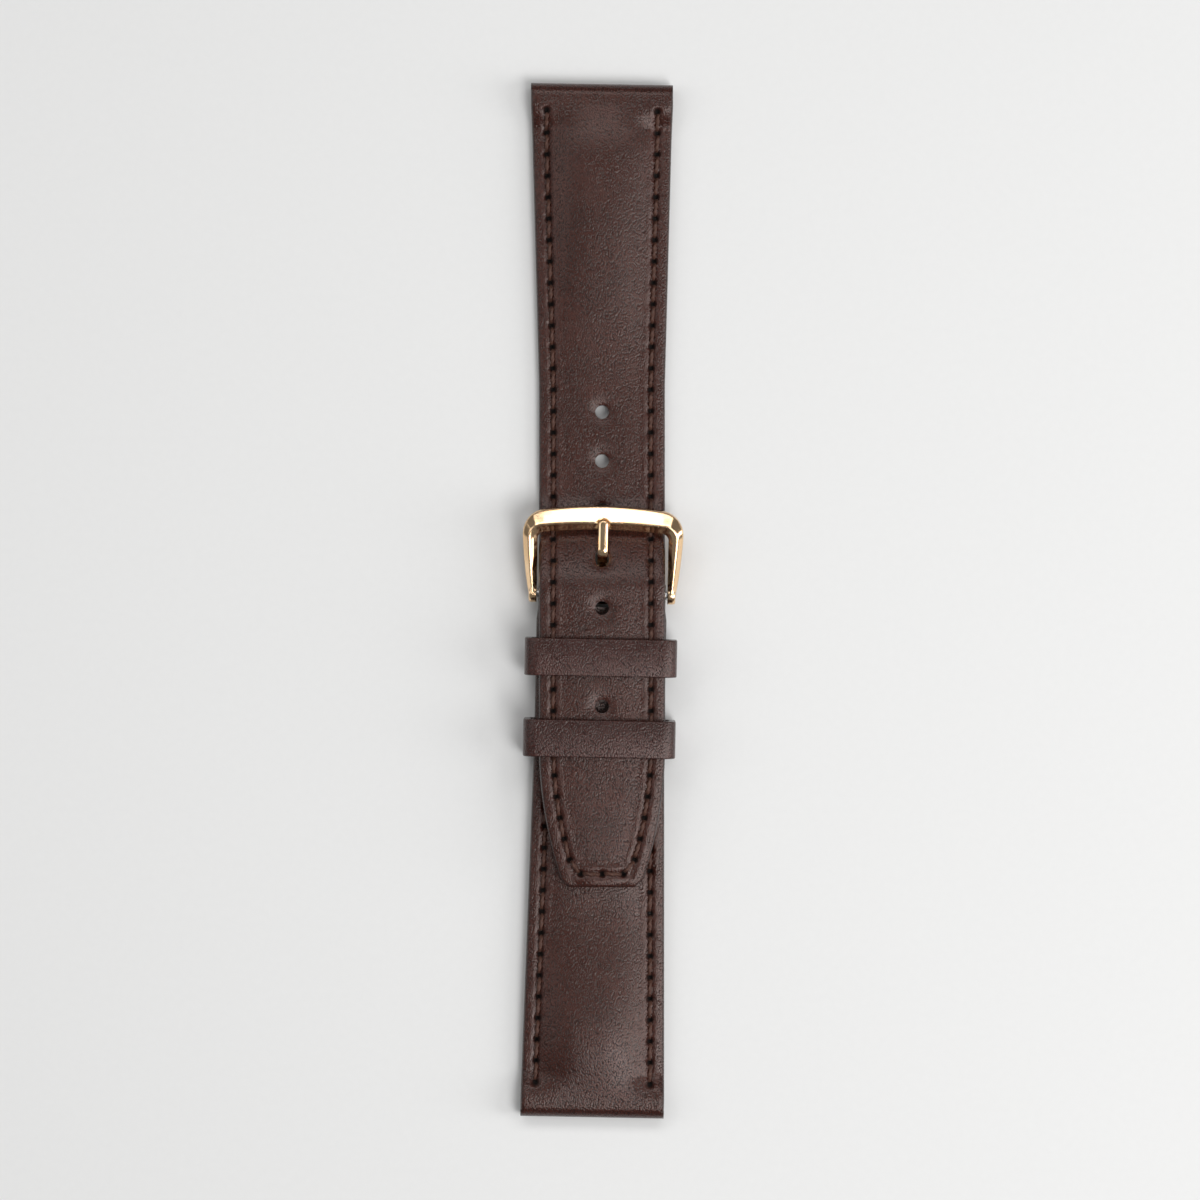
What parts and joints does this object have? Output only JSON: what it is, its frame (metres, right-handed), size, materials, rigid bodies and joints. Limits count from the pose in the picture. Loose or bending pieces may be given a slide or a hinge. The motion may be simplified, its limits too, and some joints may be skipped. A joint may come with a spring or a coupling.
{
  "type": "watch strap",
  "caption": "Two-piece padded leather watch strap, buckled, with a pin buckle on a spring bar and two keepers.",
  "frame": {"origin": "middle of the strap's footprint, on the surface that it lies on", "axes": "+Y along the long half to its lug end, +X across the strap, +Z out of the strap's face"},
  "size_m": [0.0229, 0.1458, 0.0078],
  "materials": {
    "long_top_leather": "smooth calf, fine grain, soft sheen",
    "long_filler": "raw bonded leather board",
    "long_lining": "matte lining leather",
    "long_seam_thread": "waxed twisted thread",
    "long_bobbin_thread": "waxed twisted thread",
    "short_top_leather": "smooth calf, fine grain, soft sheen",
    "short_filler": "raw bonded leather board",
    "short_lining": "matte lining leather",
    "short_seam_thread": "waxed twisted thread",
    "short_bobbin_thread": "waxed twisted thread",
    "keeper_leather": "smooth calf, fine grain, soft sheen",
    "buckle_gold": "polished gold plate",
    "spring_bar_steel": "turned stainless steel"
  },
  "bodies": {
    "short_half": {"short_top_leather": "short_top_leather", "short_filler": "short_filler", "short_lining": "short_lining", "short_seam_thread_left": "short_seam_thread", "short_seam_thread_right": "short_seam_thread", "short_bobbin_thread_left": "short_bobbin_thread", "short_bobbin_thread_right": "short_bobbin_thread", "fixed_keeper": "keeper_leather"},
    "long_half": {"long_top_leather": "long_top_leather", "long_filler": "long_filler", "long_lining": "long_lining", "long_seam_thread": "long_seam_thread", "long_bobbin_thread": "long_bobbin_thread"},
    "buckle_frame": {"buckle_frame": "buckle_gold"},
    "buckle_tongue": {"buckle_tongue": "buckle_gold"},
    "free_keeper": {"free_keeper": "keeper_leather"},
    "spring_bar": {"spring_bar_barrel": "spring_bar_steel", "spring_bar_spring": "spring_bar_steel"},
    "spring_bar_tip_left": {"spring_bar_tip_left": "spring_bar_steel"},
    "spring_bar_tip_right": {"spring_bar_tip_right": "spring_bar_steel"}
  },
  "joints": [
    {"name": "closure_swing", "type": "hinge", "parent": "short_half", "child": "long_half", "pos_m": [0, 0.00095, 0.00306], "axis": [0.9998, -0.0192, 0], "range_deg": [0, 45], "deforming": ["long_top_leather", "long_filler", "long_lining", "long_seam_thread", "long_bobbin_thread"]},
    {"name": "frame_swing", "type": "hinge", "parent": "short_half", "child": "buckle_frame", "pos_m": [0, 0.00095, 0.00306], "axis": [0.9998, -0.0192, 0], "range_deg": [0, 45]},
    {"name": "tongue_swing", "type": "hinge", "parent": "short_half", "child": "buckle_tongue", "pos_m": [0, 0.00095, 0.00306], "axis": [0.9998, -0.0192, 0], "range_deg": [0, 45]},
    {"name": "bar_spin", "type": "hinge", "parent": "short_half", "child": "spring_bar", "pos_m": [0, 0.00095, 0.00306], "axis": [0.9998, -0.0192, 0], "continuous": true},
    {"name": "left_tip_press", "type": "slide", "parent": "spring_bar", "child": "spring_bar_tip_left", "axis": [0.9998, -0.0192, 0], "range_m": [0, 0.0011], "stiffness_N_per_m": 1500, "springref_m": -0.001, "deforming": ["spring_bar_spring"]},
    {"name": "right_tip_press", "type": "slide", "parent": "spring_bar", "child": "spring_bar_tip_right", "axis": [-0.9998, 0.0192, 0], "range_m": [0, 0.0011], "stiffness_N_per_m": 1500, "springref_m": -0.001, "deforming": ["spring_bar_spring"]},
    {"name": "keeper_slide", "type": "slide", "parent": "short_half", "child": "free_keeper", "axis": [0.0192, 0.9996, 0.0224], "range_m": [-0.015, 0.006]}
  ],
  "couplings": [
    {"joint": "frame_swing", "follows": "closure_swing", "ratio": 1},
    {"joint": "tongue_swing", "follows": "closure_swing", "ratio": 1}
  ]
}
